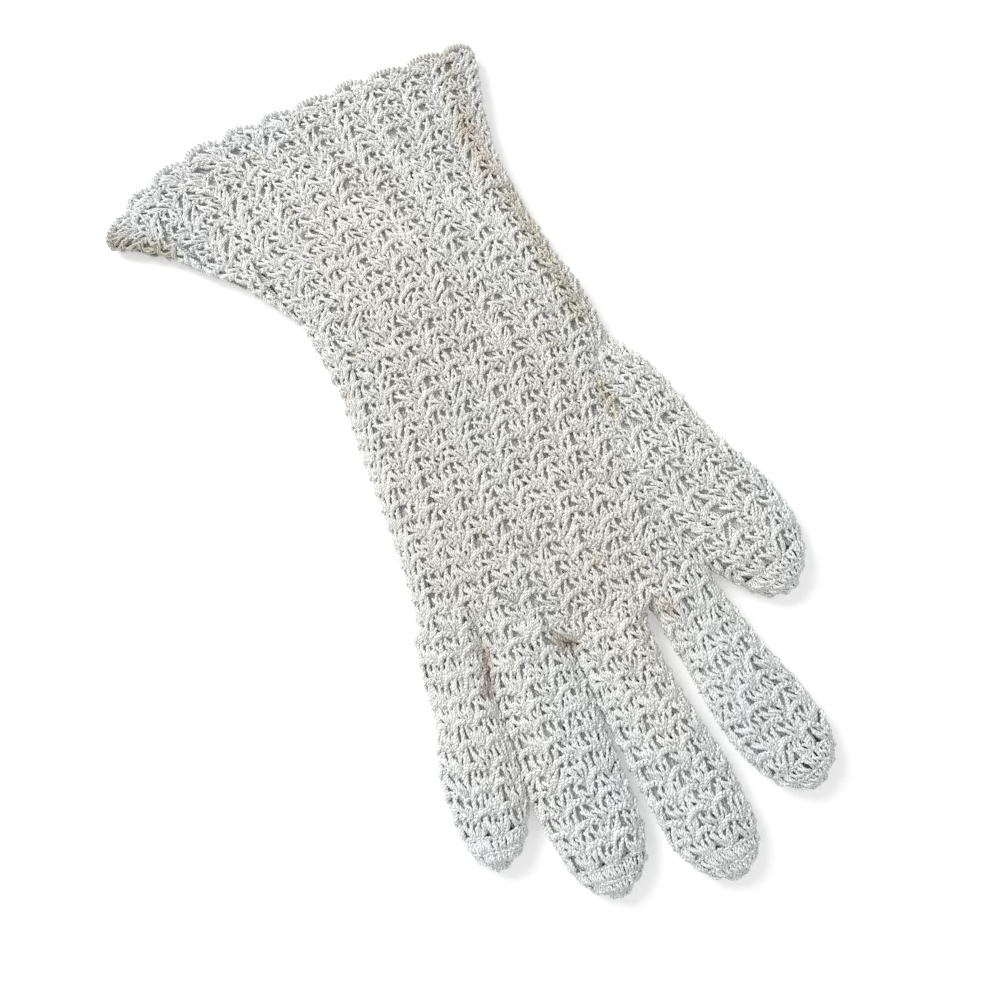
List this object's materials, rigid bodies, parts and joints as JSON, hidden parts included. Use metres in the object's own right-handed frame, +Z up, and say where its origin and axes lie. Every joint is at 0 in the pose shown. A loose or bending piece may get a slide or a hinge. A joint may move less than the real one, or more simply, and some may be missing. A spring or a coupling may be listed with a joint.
{
  "type": "crochet glove",
  "caption": "Right-hand crocheted cotton gauntlet glove lying palm down, with hollow fingers and thumb, a flared open cuff and a scalloped hem.",
  "frame": {"origin": "under the middle of the whole glove, on the surface it lies on", "axes": "+Y from the cuff to the fingertips, -X the thumb side, +Z up out of the back of the hand"},
  "size_m": [0.1352, 0.2508, 0.0098],
  "materials": {
    "hand_crochet": "matte warm off-white cotton thread",
    "finger_crochet": "matte cool off-white cotton thread",
    "cuff_crochet": "matte off-white cotton thread"
  },
  "bodies": {
    "root": {"hand": "hand_crochet", "thumb": "finger_crochet", "index_finger": "finger_crochet", "middle_finger": "finger_crochet", "ring_finger": "finger_crochet", "little_finger": "finger_crochet", "gauntlet_cuff": "cuff_crochet", "hem_edging": "cuff_crochet"}
  },
  "joints": []
}
